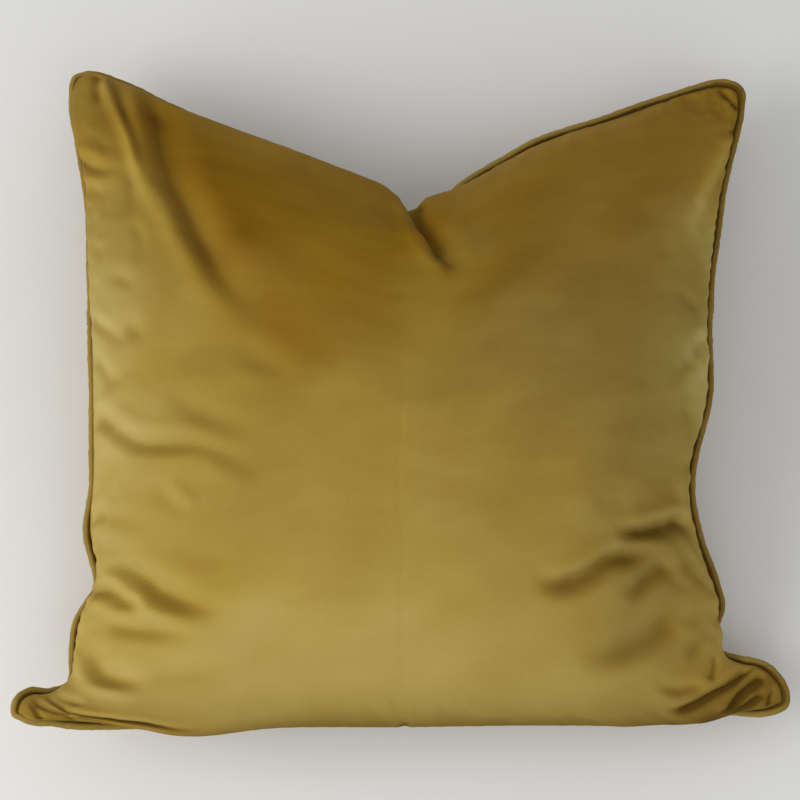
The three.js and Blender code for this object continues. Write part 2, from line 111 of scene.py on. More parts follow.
# Folds pressed into the front panel, in its own flat measure from its centre. A fold's form is its
# depth below the cloth beside it, negative for a ridge, its widths left and right of its path, the
# shares of its length over which it rises and falls, and how much shade is painted in it, a painted
# highlight where that is negative. A trough may have a ridge on a side, as a share of its depth. A lap
# draws the cloth of one side over the trough, up to the share "lapEnd" of its length.
folds = {
    "top left, outer": {"form": (1.7, 6, 10, 0.1, 0.5, 0), "path": [(-241, 273), (-236, 258),
        (-230, 243), (-224, 228), (-219, 213), (-215, 200)]},
    "top left, nick": {"form": (2.2, 3, 3, 0.2, 0.4, 0.12), "path": [(-257, 273), (-253, 263),
        (-251, 254), (-249, 244)]},
    "top left, ridge": {"form": (-3.6, 3.5, 5.5, 0.12, 0.3, -0.08), "path": [(-251, 270), (-245, 259),
        (-241, 251), (-236, 240), (-231.5, 228), (-227.5, 215), (-225, 202), (-224, 190), (-221, 175)]},
    "top left, ridge below": {"form": (-2, 8, 6, 0.3, 0.6, 0), "path": [(-231, 212), (-226, 194),
        (-222, 178), (-215, 156), (-204, 134)]},
    "top left, long": {"form": (8, 20, 12, 0.1, 0.45, 0.05), "ridgeRight": 0.35, "path": [(-208, 275),
        (-204, 245), (-200, 213), (-194, 181), (-185, 160), (-177, 139), (-167, 121), (-155, 100),
        (-139, 83), (-116, 63)]},
    "top left, cross": {"form": (2.8, 8, 6, 0.1, 0.5, 0.02), "ridgeLeft": 0.4, "path": [(-275, 200),
        (-262, 190), (-250, 186), (-236, 190)]},
    "top left, second cross": {"form": (1.2, 6, 6, 0.1, 0.5, 0), "path": [(-275, 172), (-256, 166),
        (-238, 165)]},
    "top left, curl": {"form": (1.5, 6, 6, 0.3, 0.5, 0), "path": [(-231, 190), (-229, 170), (-233, 151),
        (-247, 138)]},
    "top left, low curl": {"form": (1, 5, 6, 0.3, 0.5, 0), "path": [(-238, 136), (-228, 130),
        (-224, 117), (-229, 105), (-240, 99)]},
    "left, short dent": {"form": (1.6, 6, 6, 0.3, 0.5, 0), "path": [(-250, 92), (-238, 88),
        (-229, 80)]},
    "left, pucker": {"form": (3, 6, 5, 0.1, 0.6, 0), "path": [(-274, 66), (-262, 56), (-252, 48),
        (-235, 38)]},
    "left, soft spot": {"form": (2.2, 8, 7, 0.4, 0.5, 0), "path": [(-240, 62), (-232, 50), (-224, 36)]},
    "left, next pucker": {"form": (3, 6, 5, 0.1, 0.6, 0), "path": [(-274, 35), (-264, 25), (-255, 16),
        (-243, 8)]},
    "left, middle": {"form": (4.5, 8, 5, 0.06, 0.75, 0.03), "ridgeLeft": 0.25, "path": [(-273, -7),
        (-262, -15), (-248, -25), (-228, -36), (-206, -39), (-183, -40), (-158, -46), (-134, -57),
        (-112, -66)]},
    "left, broad": {"form": (2.2, 14, 10, 0.3, 0.5, 0.02), "path": [(-210, 12), (-190, -6), (-167, -19),
        (-143, -27), (-115, -30)]},
    "middle, broad": {"form": (2.2, 16, 12, 0.4, 0.5, 0), "path": [(-148, 43), (-121, 27), (-84, 19)]},
    "left, pale streak": {"form": (-1.4, 6, 5, 0.4, 0.4, 0), "path": [(-202, -66), (-190, -76),
        (-172, -87)]},
    "left, long pale streak": {"form": (-1.2, 8, 6, 0.4, 0.5, 0), "path": [(-176, -52), (-150, -65),
        (-118, -76)]},
    "left, dent under it": {"form": (1.2, 7, 7, 0.4, 0.4, 0), "path": [(-217, -62), (-200, -80),
        (-178, -93)]},
    "left, seam dent": {"form": (2, 6, 6, 0.05, 0.6, 0), "path": [(-274, -88), (-262, -84), (-254, -86),
        (-230, -93), (-207, -97)]},
    "left, above the low ones": {"form": (2.6, 6, 5, 0.1, 0.6, 0), "path": [(-273, -104), (-259, -110),
        (-240, -115), (-219, -117)]},
    "left, faint low": {"form": (1.2, 8, 7, 0.4, 0.4, 0), "path": [(-200, -122), (-183, -125),
        (-160, -127), (-140, -124)]},
    "left, low": {"form": (8.5, 9.5, 7, 0.25, 0.5, 0.07), "ridgeRight": 0.25, "path": [(-258, -117),
        (-251, -123), (-237, -134), (-216, -144), (-194, -154), (-173, -160), (-140, -165)]},
    "left, low at the seam": {"form": (5.5, 5, 5.5, 0.15, 0.4, 0.1), "ridgeRight": 0.2,
        "path": [(-268, -147), (-262, -143), (-254, -143), (-245, -147), (-233, -154), (-214, -162)]},
    "left, crest by the seam": {"form": (-3.2, 4, 4, 0.3, 0.3, -0.06), "path": [(-262, -135),
        (-256, -132), (-244, -135), (-228, -143), (-212, -157)]},
    "left, below": {"form": (4.2, 7, 6, 0.25, 0.5, 0), "path": [(-254, -164), (-244, -168),
        (-223, -173), (-197, -175), (-160, -176)]},
    "left ear, root": {"form": (5.5, 9, 6.5, 0.3, 0.5, 0.06), "ridgeRight": 0.4, "path": [(-258, -179),
        (-253, -190), (-245, -202), (-231, -208), (-198, -211)]},
    "left ear, beside the root": {"form": (1.8, 8, 8, 0.3, 0.5, 0), "path": [(-215, -211), (-186, -203),
        (-149, -200), (-125, -196)]},
    "left ear, long": {"form": (3.5, 2.5, 2.5, 0.1, 0.4, 0.3), "lap": 1.2, "path": [(-268, -243),
        (-258.5, -239.5), (-248, -246.5), (-240.5, -250), (-233, -251), (-227.5, -250), (-218, -247.5),
        (-208, -246.5), (-196, -245), (-175, -244), (-150, -243)]},
    "left ear, upper": {"form": (2.2, 3, 3, 0.3, 0.4, 0.12), "path": [(-267, -234), (-262, -233),
        (-256, -232.5), (-250, -234), (-240, -239)]},
    "left ear, middle": {"form": (3.5, 3, 3.5, 0.2, 0.25, 0.24), "path": [(-269, -256), (-261.5, -252),
        (-255, -252), (-247, -255), (-241, -260)]},
    "left ear, tip": {"form": (2, 2.2, 2.5, 0.2, 0.2, 0.14), "path": [(-267, -257), (-261, -260),
        (-257, -265), (-255, -274)]},
    "left ear, nick": {"form": (1.8, 2.2, 2.5, 0.3, 0.2, 0.12), "path": [(-241, -256), (-238, -260),
        (-235, -268), (-233, -275)]},
    "right, crease": {"form": (1, 8, 8, 0.4, 0.4, 0), "path": [(221, 136), (227, 120), (232, 103)]},
    "right, edge": {"form": (-2.4, 6, 6, 0.15, 0.5, -0.28), "path": [(271, 238), (266, 222), (261, 205),
        (256, 186), (252, 166), (249, 146), (249, 120)]},
    "top right, flap": {"form": (2.2, 2.5, 3, 0.15, 0.2, 0.25), "ridgeRight": 0.4, "path": [(257, 274),
        (263, 268), (269, 262), (274, 255)]},
    "top right, pocket": {"form": (1.8, 2.5, 4, 0.3, 0.3, 0.25), "path": [(272, 250), (273, 240),
        (270, 231)]},
    "right, middle": {"form": (4.5, 5, 8, 0.15, 0.6, 0), "ridgeLeft": 0.4, "path": [(268, 52),
        (258, 34), (246, 16), (238, 0)]},
    "right, pinch": {"form": (-2.5, 5, 6, 0.3, 0.5, 0), "path": [(272, -54), (262, -69), (259, -86)]},
    "right, faint": {"form": (1.2, 12, 10, 0.4, 0.4, 0), "path": [(167, -86), (189, -94), (217, -91)]},
    "right, short": {"form": (8.5, 6, 7, 0.35, 0.15, 0.18), "ridgeLeft": 0.15, "path": [(188, -118),
        (204, -115), (223, -110), (243, -103), (258, -98), (270, -100)]},
    "right, long": {"form": (8.5, 6.5, 7, 0.3, 0.35, 0.18), "ridgeLeft": 0.15, "path": [(108, -154),
        (119, -156), (137, -157), (161, -150), (182, -138), (203, -131), (223, -125), (243, -121)]},
    "right, under it": {"form": (6, 7, 6, 0.5, 0.27, 0.12), "path": [(184, -160), (200, -157),
        (212, -149), (225, -140), (235, -136), (247, -134)]},
    "right, broad": {"form": (6.5, 9, 8, 0.5, 0.24, 0.12), "path": [(140, -205), (163, -202),
        (184, -197), (201, -191), (220, -183), (237, -172), (249, -164)]},
    "right, near it": {"form": (2.6, 5, 4, 0.4, 0.4, 0.06), "path": [(236, -205), (244, -199),
        (252, -191), (260, -182)]},
    "right, lowest": {"form": (2.6, 5, 5, 0.5, 0.3, 0.1), "path": [(203, -219), (213, -219),
        (223, -221), (232, -223), (239, -226), (246, -230)]},
    "right ear, long": {"form": (5.5, 3, 5.5, 0.3, 0.12, 0.28), "lap": 2.5, "path": [(206, -236),
        (214, -235), (223, -233), (233, -232.5), (244, -231.5), (252, -231.5), (259, -231), (266, -233),
        (273, -237)]},
    "right ear, next": {"form": (4.5, 3, 4, 0.15, 0.15, 0.28), "ridgeLeft": 0.4, "lap": 1.5,
        "path": [(239, -255), (246, -249), (252, -245), (258, -243), (263, -244.5), (270, -249)]},
    "right ear, third": {"form": (3.5, 2.5, 3.5, 0.15, 0.2, 0.25), "ridgeLeft": 0.3, "lap": 1,
        "path": [(237, -265), (244, -260), (250, -258), (256, -255.5), (262, -254)]},
    "right ear, tip": {"form": (2.2, 2.5, 2.5, 0.3, 0.3, 0.14), "path": [(261, -271), (264, -263),
        (269, -261)]},
    "right ear, root": {"form": (3.2, 2.5, 3.5, 0.1, 0.3, 0.12), "lap": -1.5, "path": [(258, -207),
        (256, -213), (252, -218), (249, -222), (249.5, -227)]},
    "chop": {"form": (13, 14, 6, 0.08, 0.42, 0.24), "lap": -7, "lapEnd": 0.85, "path": [(-5, 275),
        (-3, 258), (3, 243), (8, 224), (17, 198), (26, 177), (34, 160), (41, 146), (45, 136)]},
    "chop, end": {"form": (2.4, 10, 9, 0.5, 0.65, 0.15), "path": [(31, 166), (39, 152), (45, 136),
        (50, 120)]},
    "packing crease": {"form": (0.13, 3, 3, 0.3, 0.02, 0), "path": [(3, 70), (1, -60), (3, -200),
        (2, -275)]},
    "bottom, middle": {"form": (0.8, 3, 3, 0.3, 0.3, 0.3), "path": [(4, -244), (3, -253), (2, -264)]},
    "chop, pocket": {"form": (2.5, 4, 4, 0.1, 0.4, 0.12), "path": [(10, 266), (16, 256), (24, 254)]},
}

# What all folds have in common, in widths of a fold from its path.
foldForm = {
    "reach": 3.2,  # where a fold ends
    "margin": 2,  # millimetres past that
    "ridge": 1.7,  # where its ridges stand
    "lapDark": 0.4,  # where the shade painted under a lap is darkest
    "lapPull": 0.9,  # where it draws the cloth the most
    "darkSharpness": 1.4,
    "pathSteps": 8,  # places worked out on each stretch of a path
}

gathers = {
    "height": 0.7,  # of the small scallops where the seam draws the panels in
    "shortest": 9,
    "longest": 17,
    "lowest": 0.35,  # share of the height that the lowest scallops keep
    "wanderBlur": 6,  # how far along the seam their random changes are averaged
    "wanderSize": 3,  # higher lets them change more slowly
    "rise": 2,  # how far in from the seam they are almost at their height
    "reach": 9,  # and how far in they fade
    "slant": 0.35,
    "seed": 11,
    # Parts of the front panel that stay smoother: place in x and y, reach, and the share left out.
    "smooth": [
        (-240, 235, 60, 0.9), (-120, 275, 90, 0.6), (100, 275, 110, 0.5), (-245, -262, 60, 0.95),
        (255, -250, 42, 0.9),
    ],
}

cloth = {
    "frames": 16,
    "quality": 6,
    "mass": 0.3,
    "pressure": 4,
    "slackInside": 0.015,  # extra cloth in the middle of a panel, as a share of its length
    "slackAtSeam": 0.03,  # the same where the seam gathers it
    "seamBand": 70,  # how far in from the seam the gathers reach
    "weights": 20,  # steps in which the slack goes from the one to the other
    "weightReach": 0.026,  # just over half a step
    "restingBelow": 0.01,  # height under which the back lies still on the floor
    "stiffness": 15,
    "shear": 5,
    "bending": 0.5,
    "swellPasses": 40,  # the swelling broader than this many smoothing passes is taken off again
    "cap": 1.2,  # the furthest that a pucker may move a point
    "puckerBand": 45,  # how far in from the seam the puckers are kept
}

# The painted tone, from 0 where it shows dark to 1 where it shows pale: partly how the pile lies, partly
# painted light and shade. Also the tint, from -1 where it is deep gold to 1 where it is greyish: partly the
# velvet's own, partly painted sheen.
pile = {
    "byFoldHeight": 0.7,  # painted light and sheen where a fold faces down the panel
    "byFoldSide": 0.3,  # and painted light where one faces left, towards the window
    "foldLimit": 0.34,
    "paleSide": 0.6,  # how much of that painted light shows where it is painted paler
    "inTrough": 0.03,  # painted shade, darker for each mm that a fold lies below the cloth around it
    "troughLimits": (-2, 6),  # the least and the most of those millimetres
    "troughPasses": 10,  # of smoothing, for the cloth around it
    "broadPasses": 60,  # the same for the panel without its folds
    "foldPasses": 2,  # and for the folds
    "brushPasses": 20,  # and for the bands and patches below
    "slant": 0.12,  # how far the bands sink for each mm further right
    "slantFrom": (-230, -80),  # heights between which the slant sets in
    "wander": 9,  # how far the edges of the bands and patches wander
    "wanderFrom": (-220, -160),  # heights between which they start to wander up and down
    "backLies": 0.42,
    "inSeam": 0.3,  # painted shade right beside the piping
    "seamReach": 1.8,
    # Bands across the front panel: height, tone, tint. Their tone is painted shade and sheen, darker
    # towards the top, with painted shade along the very bottom where the belly turns under.
    "bands": [
        (-275, 0, 0.8), (-257, 0.06, 0.8), (-246, 0.24, 0.7), (-234, 0.52, 0.5), (-218, 0.69, -0.15),
        (-165, 0.68, -0.35), (-110, 0.57, -0.25), (0, 0.45, -0.35), (60, 0.35, -0.55),
        (110, 0.3, -0.95), (200, 0.29, -1.3), (275, 0.31, -1.1),
    ],
    # Patches of tone and tint: place in x and y, reach across and along, and what they add to both. Some
    # stand for pile brushed otherwise, others are painted light and shade, such as the paler strip down the
    # left side, which faces the window, and the painted sheen along the right edge.
    "patches": [
        (-272, 80, 46, 150, 0.28, 1), (-272, -90, 40, 90, 0.06, 0.1), (-235, 142, 34, 50, 0.07, 0.75),
        (-186, 95, 26, 55, 0.14, 0.5), (-110, -188, 135, 34, 0.14, -0.05), (20, -195, 120, 36, 0.08, 0),
        (-158, 160, 32, 62, -0.1, -0.35), (-125, 185, 45, 30, -0.02, -0.1),
        (-250, 258, 30, 40, -0.03, 1), (-85, 130, 90, 70, -0.03, -0.3), (0, 110, 24, 110, 0.03, 0),
        (28, 75, 34, 65, 0.08, 0.2), (165, -28, 75, 60, -0.13, 0), (140, 60, 90, 110, 0, 0.9),
        (222, -25, 38, 62, -0.08, 0.5), (212, -155, 58, 54, -0.25, 0.8), (245, 80, 45, 130, 0.12, 1.1),
        (262, 110, 16, 70, 0.07, 0.2), (222, 168, 40, 36, -0.08, -0.2), (98, 98, 36, 28, -0.12, -0.4),
        (252, -182, 26, 26, -0.13, 0), (-225, 242, 40, 26, -0.08, -0.4), (118, -172, 45, 26, -0.06, 0),
        (-88, 45, 40, 42, -0.15, -0.5), (-150, 70, 30, 40, 0.06, 0), (47, 170, 22, 22, -0.03, 0.9),
        (10, 198, 28, 38, -0.02, -0.8), (118, 175, 50, 30, 0.03, 0.2), (-57, 185, 30, 48, 0.05, 0),
        (-140, 232, 50, 26, -0.08, -0.35), (-160, 125, 24, 30, -0.08, -0.1),
        (168, 140, 32, 60, 0.05, 0.3), (190, -112, 46, 16, 0.05, 0.2), (-92, -15, 36, 22, 0.06, 0.2),
        (-240, -180, 45, 28, -0.08, 0), (-135, -145, 42, 28, -0.08, -0.2),
        (-204, -18, 38, 22, 0.16, 0.5), (285, 60, 24, 130, 0.5, 0.3), (250, -240, 40, 28, -0.16, -0.8),
        (262, -262, 26, 22, 0.25, -0.6), (-255, -258, 40, 24, 0.22, -1.1),
        (-190, -262, 100, 20, 0.3, -0.7),
    ],
}


# From 0 to 1, level at both ends: x^2 (3 - 2x) of x kept within 0 and 1.
def smoothStep(x):
    x = np.clip(x, 0, 1)
    return x * x * (3 - 2 * x)


# The same from one limit to another.
def stepBetween(x, low, high):
    return smoothStep((x - low) / (high - low))


# Running average along the first axis under a Hann window.
def blurred(values, reach):
    window = np.hanning(2 * reach + 3)[1:-1]
    window /= window.sum()
    padded = np.pad(values, [(reach, reach)] + [(0, 0)] * (values.ndim - 1), mode="edge")
    return np.apply_along_axis(np.convolve, 0, padded, window, "valid")


# Centripetal Catmull-Rom curve through the seam's points, closed: each stretch is a cubic whose end
# slopes come from the neighbouring chords, weighted by the square roots of their lengths.
def seamAt(t):
    whole = np.floor(t).astype(int)
    f = (t - whole)[:, None]
    a, b, c, d = (seamPoints[(whole + k) % seamCount] for k in (-1, 0, 1, 2))
    ab, bc, cd = (
        np.sqrt(np.linalg.norm(q - p, axis=1, keepdims=True)) for p, q in ((a, b), (b, c), (c, d))
    )
    slopeB = ((b - a) / ab - (c - a) / (ab + bc) + (c - b) / bc) * bc
    slopeC = ((c - b) / bc - (d - b) / (bc + cd) + (d - c) / cd) * bc
    return (
        b
        + slopeB * f
        + (3 * (c - b) - 2 * slopeB - slopeC) * f**2
        + (2 * (b - c) + slopeB + slopeC) * f**3
    )


# Direction along the seam, and the level direction square to it that points into the cushion.
def seamFrame(t):
    along = seamAt(t + 1e-3) - seamAt(t - 1e-3)
    along /= np.linalg.norm(along, axis=1, keepdims=True)
    inward = np.cross(along, (0, 0, 1))
    inward /= np.linalg.norm(inward, axis=1, keepdims=True)
    return along, inward


# The line where both panels meet: the seam's curve, drawn in by the edge inset.
def coverEdge(t):
    return seamAt(t) + seamFrame(t)[1] * cover["edgeInset"]


# Seam parameters at given shares of the length of a line between two of the seam's points.
def alongSeam(first, last, shares, line=coverEdge):
    fine = np.linspace(first, last, 4000)
    steps = np.linalg.norm(np.diff(line(fine), axis=0), axis=1)
    travelled = np.concatenate([[0], np.cumsum(steps)])
    return np.interp(shares * travelled[-1], travelled, fine)


# Places of the grid lines from 0 to 1: their density is 1, plus a share that falls off exponentially
# from both seams, plus a bell curve at the chop.
def gridLines(cells, atChop):
    share = np.linspace(0, 1, 2001)
    reach = cover["crowdReach"]
    density = 1 + cover["crowdAtSeams"] * (np.exp(-share / reach) + np.exp((share - 1) / reach))
    density = density + atChop * np.exp(-(((share - cover["chopPlace"]) / reach) ** 2))
    total = np.concatenate([[0], np.cumsum((density[1:] + density[:-1]) / 2)])
    return np.interp(np.linspace(0, total[-1], cells + 1), total, share)


# From 0 on a seam to 1 in the middle: the product of 1 - |2u - 1|^flatness and 1 - |2v - 1|^flatness,
# to the power of the fullness.
def crown(u, v):
    across = 1 - np.abs(2 * u - 1) ** cover["crownFlatness"]
    along = 1 - np.abs(2 * v - 1) ** cover["crownFlatness"]
    return (across * along) ** cover["crownFullness"]


# A side's bow without its sharp turns: averaged on even steps under a Gauss window, nothing at the ends.
def softened(bow, lines):
    steps, reach = 400, 80
    even = np.linspace(0, 1, steps + 1)
    window = np.exp(-((np.arange(-reach, reach + 1) / steps / cover["kinkBlur"]) ** 2))
    window /= window.sum()
    soft = np.empty_like(bow)
    for axis in range(3):
        values = np.pad(np.interp(even, lines, bow[:, axis]), reach, mode="reflect", reflect_type="odd")
        soft[:, axis] = np.interp(lines, even, np.convolve(values, window, "valid"))
    return soft * smoothStep(np.minimum(lines, 1 - lines) / cover["kinkEnds"])[:, None]


# Both panels on one grid of (v, u): straight between the corners, plus each side's own bow, which
# fades with the square of the way across, its sharp turns much sooner. The front is lifted by its
# crown. Near each seam a panel stands out by its bulge times r e^(1-r), where r is the distance from
# the seam over the bulge's reach. The back sags by its own crown and stays flat where it would go
# below zero.
def panelGrids(cells):
    lineX, lineY = gridLines(cells, cover["crowdAtChop"]), gridLines(cells, 0)
    places = {
        "top": alongSeam(firstOf["top"], firstOf["right"], lineX),
        "right": alongSeam(firstOf["right"], firstOf["bottom"], 1 - lineY[::-1])[::-1],
        "bottom": alongSeam(firstOf["bottom"], firstOf["left"], 1 - lineX[::-1])[::-1],
        "left": alongSeam(firstOf["left"], seamCount, lineY),
    }
    edge = {name: coverEdge(t) for name, t in places.items()}
    edge["left"][-1], edge["right"][-1] = edge["top"][0], edge["top"][-1]
    edge["left"][0], edge["right"][0] = edge["bottom"][0], edge["bottom"][-1]
    u, v = lineX[None, :, None], lineY[:, None, None]
    low = edge["bottom"][0] * (1 - u) + edge["bottom"][-1] * u
    high = edge["top"][0] * (1 - u) + edge["top"][-1] * u
    level = low * (1 - v) + high * v
    bulged, backBulged = np.zeros_like(level), np.zeros_like(level)
    for name, inward in {"top": 1 - v, "right": 1 - u, "bottom": v, "left": u}.items():
        upright = name in ("left", "right")
        lines = lineY if upright else lineX
        bow = edge[name] - edge[name][0] * (1 - lines[:, None]) - edge[name][-1] * lines[:, None]
        soft = softened(bow, lines)
        share = lines if name in ("top", "left") else 1 - lines
        bulge = blurred(np.interp(share, *zip(*cover["bulge"][name])), cover["bulgeBlur"])
        outward = blurred(-seamFrame(places[name])[1], cover["outwardBlur"])
        outward /= np.linalg.norm(outward, axis=1, keepdims=True)
        outward *= smoothStep(np.minimum(lines, 1 - lines) * cover["side"] / cover["cornerFade"])[:, None]
        bow, soft, outward, bulge = (
            a[:, None] if upright else a[None] for a in (bow, soft, outward, bulge[:, None])
        )
        level = level + (1 - inward) ** cover["kinkFade"] * (bow - soft) + (1 - inward) ** 2 * soft
        near = inward * cover["side"] / cover["bellyReach" if name == "bottom" else "bulgeReach"]
        bulged = bulged + outward * bulge * near * np.exp(1 - near)
        near = inward * cover["side"] / cover["bulgeReach"]
        backBulge = outward * cover["backBulge"] * cover["bulgeReach"]
        backBulged = backBulged + backBulge * near * np.exp(1 - near)
    filled = crown(u[..., 0], v[..., 0])
    front, back = level.copy(), level.copy()
    front[..., 2] += cover["frontRise"] * filled
    soft = cover["restSoftness"]
    free = level[..., 2] - cover["backDrop"] * filled
    back[..., 2] = np.where(np.abs(free) < soft, (free + soft) ** 2 / (4 * soft), np.maximum(0, free))
    x, y = np.meshgrid((lineX - 0.5) * cover["side"], (lineY - 0.5) * cover["side"])
    return front + bulged, back + backBulged, x, y


# Catmull-Rom curve through a path's points: the usual cubic of each point and its neighbours.
def smoothPath(path):
    points = np.array(path, float)
    points = np.concatenate([[2 * points[0] - points[1]], points, [2 * points[-1] - points[-2]]])
    f = np.linspace(0, 1, foldForm["pathSteps"], endpoint=False)[:, None]
    stretches = [
        0.5 * (2 * b + (c - a) * f + (2 * a - 5 * b + 4 * c - d) * f**2 + (3 * b - a - 3 * c + d) * f**3)
        for a, b, c, d in zip(points[:-3], points[1:-2], points[2:-1], points[3:])
    ]
    return np.concatenate(stretches + [points[-2:-1]])


# Distance from each place to a path, the same with its sign to the left of the path, the share of
# the path's length at the nearest point, and the path's direction there.
def distanceToPath(x, y, points):
    steps = np.diff(points, axis=0)
    lengths = np.linalg.norm(steps, axis=1)
    directions = steps / lengths[:, None]
    ex, ey = x[..., None] - points[:-1, 0], y[..., None] - points[:-1, 1]
    t = np.clip(ex * directions[:, 0] + ey * directions[:, 1], 0, lengths)
    ex, ey = ex - t * directions[:, 0], ey - t * directions[:, 1]
    away = np.hypot(ex, ey)
    nearest = away.argmin(-1)[..., None]
    pick = lambda values: np.take_along_axis(values, nearest, -1)[..., 0]
    before = np.concatenate([[0], np.cumsum(lengths)[:-1]])
    signed = pick(np.sign(directions[:, 0] * ey - directions[:, 1] * ex) * away)
    return pick(away), signed, pick((before + t) / lengths.sum()), directions[nearest[..., 0]]


# Sum over the folds, on a panel's flat measure: the height is minus depth times a bell curve of the
# distance to the path, plus ridges of the same form set a little to a side. Also the sideways pull of
# the laps, and the shade painted in the folds and under the laps, both bell curves too.
def foldShape(x, y):
    height, dark = np.zeros_like(x), np.zeros_like(x)
    pull = np.zeros(x.shape + (2,))
    for fold in folds.values():
        depth, left, right, rise, fall, darkness = fold["form"]
        points = smoothPath(fold["path"])
        reach = foldForm["reach"] * max(left, right) + foldForm["margin"]
        low, high = points.min(0) - reach, points.max(0) + reach
        near = (x > low[0]) & (x < high[0]) & (y > low[1]) & (y < high[1])
        away, signed, share, direction = distanceToPath(x[near], y[near], points)
        taper = smoothStep((1 - share) / fall) * smoothStep(share / rise)
        width = np.where(signed > 0, left, right)
        shape = -np.exp(-((away / width) ** 2))
        for key, side, across in (("ridgeLeft", 1, left), ("ridgeRight", -1, right)):
            toRidge = signed / across - side * foldForm["ridge"]
            shape = shape + fold.get(key, 0) * np.exp(-(toRidge**2))
        height[near] += depth * shape * taper
        lap = fold.get("lap", 0)
        side = np.sign(lap)
        drawn, covered = (left, right) if side > 0 else (right, left)
        # Painted shade along the trough, shifted under the lap where a fold has one; a painted highlight
        # where the darkness is negative.
        under = -side * signed / covered - foldForm["lapDark"] if lap else away / width
        dark[near] += darkness * np.exp(-foldForm["darkSharpness"] * under**2) * taper
        moved = lap * np.exp(-((signed / drawn - side * foldForm["lapPull"]) ** 2)) * taper
        moved *= smoothStep((fold.get("lapEnd", 2) - share) / fall)
        pull[near] += moved[:, None] * direction[:, ::-1] * (1, -1)
    return height, pull, dark


# Small scallops along the four seams: a wave of wandering length and height, which rises and falls off
# with the distance d from the seam: height (1 - e^(-d/rise)) e^(-d/reach) sin(phase).
def gatherHeight(x, y, seed):
    rng = np.random.default_rng(seed)
    half = cover["side"] / 2
    steps = np.arange(-half, half + 1)
    height = np.zeros_like(x)
    for along, inset in ((x, half - y), (y, half - x), (x, half + y), (y, half + x)):
        wander = np.cumsum(rng.normal(size=(2, len(steps))), axis=1)
        share = 0.5 + 0.5 * np.sin(blurred(wander.T, gathers["wanderBlur"]).T / gathers["wanderSize"])
        length = gathers["shortest"] + (gathers["longest"] - gathers["shortest"]) * share[0]
        phase = np.cumsum(2 * np.pi / length)
        place = along + gathers["slant"] * inset
        size = gathers["lowest"] + (1 - gathers["lowest"]) * np.interp(place, steps, share[1])
        wave = np.sin(np.interp(place, steps, phase)) * size * gathers["height"]
        height += wave * (1 - np.exp(-inset / gathers["rise"])) * np.exp(-inset / gathers["reach"])
    return height


# What is left of the gathers and puckers at each place of the front panel: less the share of each
# smoother part times a bell curve of the distance from it.
def rippled(x, y):
    left = np.ones_like(x)
    for middleX, middleY, reach, share in gathers["smooth"]:
        away = ((x - middleX) ** 2 + (y - middleY) ** 2) / reach**2
        left *= 1 - share * np.exp(-away)
    return left


# Directions square to a grid: the cross product of its differences along both axes, at length 1.
def normalsOf(grid):
    normal = np.cross(np.gradient(grid, axis=1), np.gradient(grid, axis=0))
    return normal / np.maximum(np.linalg.norm(normal, axis=-1, keepdims=True), 1e-9)


# Each inner point becomes the mean of itself and the average of its four neighbours, several times.
def smoother(grid, passes):
    grid = grid.copy()
    for _ in range(passes):
        around = (grid[:-2, 1:-1] + grid[2:, 1:-1] + grid[1:-1, :-2] + grid[1:-1, 2:]) / 4
        grid[1:-1, 1:-1] = (grid[1:-1, 1:-1] + around) / 2
    return grid


# Point numbers of the front and back grids in one mesh that share their rim.
def gridNumbers(cells):
    front = np.arange((cells + 1) ** 2).reshape(cells + 1, cells + 1)
    back = front.copy()
    back[1:-1, 1:-1] = front.size + np.arange((cells - 1) ** 2).reshape(cells - 1, cells - 1)
    return front, back


# The four corners of each cell of a grid of point numbers.
def quadsOf(numbers):
    corners = (numbers[:-1, :-1], numbers[:-1, 1:], numbers[1:, 1:], numbers[1:, :-1])
    return np.stack(corners, -1).reshape(-1, 4)


# A smooth mesh of four-sided faces, from points in millimetres.
def meshFrom(name, points, quads):
    mesh = bpy.data.meshes.new(name)
    mesh.vertices.add(len(points))
    mesh.vertices.foreach_set("co", (points * mm).ravel())
    mesh.loops.add(quads.size)
    mesh.loops.foreach_set("vertex_index", quads.ravel())
    mesh.polygons.add(len(quads))
    mesh.polygons.foreach_set("loop_start", np.arange(0, quads.size, 4))
    mesh.polygons.foreach_set("use_smooth", np.ones(len(quads), bool))
    mesh.update(calc_edges=True)
    return mesh


def objectOf(mesh):
    made = bpy.data.objects.new(mesh.name, mesh)
    scene.collection.objects.link(made)
    return made


# One value or point for each of the mesh's points, from both panels' grids.
def pointsOf(front, back):
    inner = back[1:-1, 1:-1]
    return np.concatenate([front.reshape(-1, *front.shape[2:]), inner.reshape(-1, *back.shape[2:])])


# Both panels' cells, the back's turned round so that they face outwards.
def coverQuads(cells):
    front, back = gridNumbers(cells)
    return np.concatenate([quadsOf(front), quadsOf(back)[:, ::-1]])


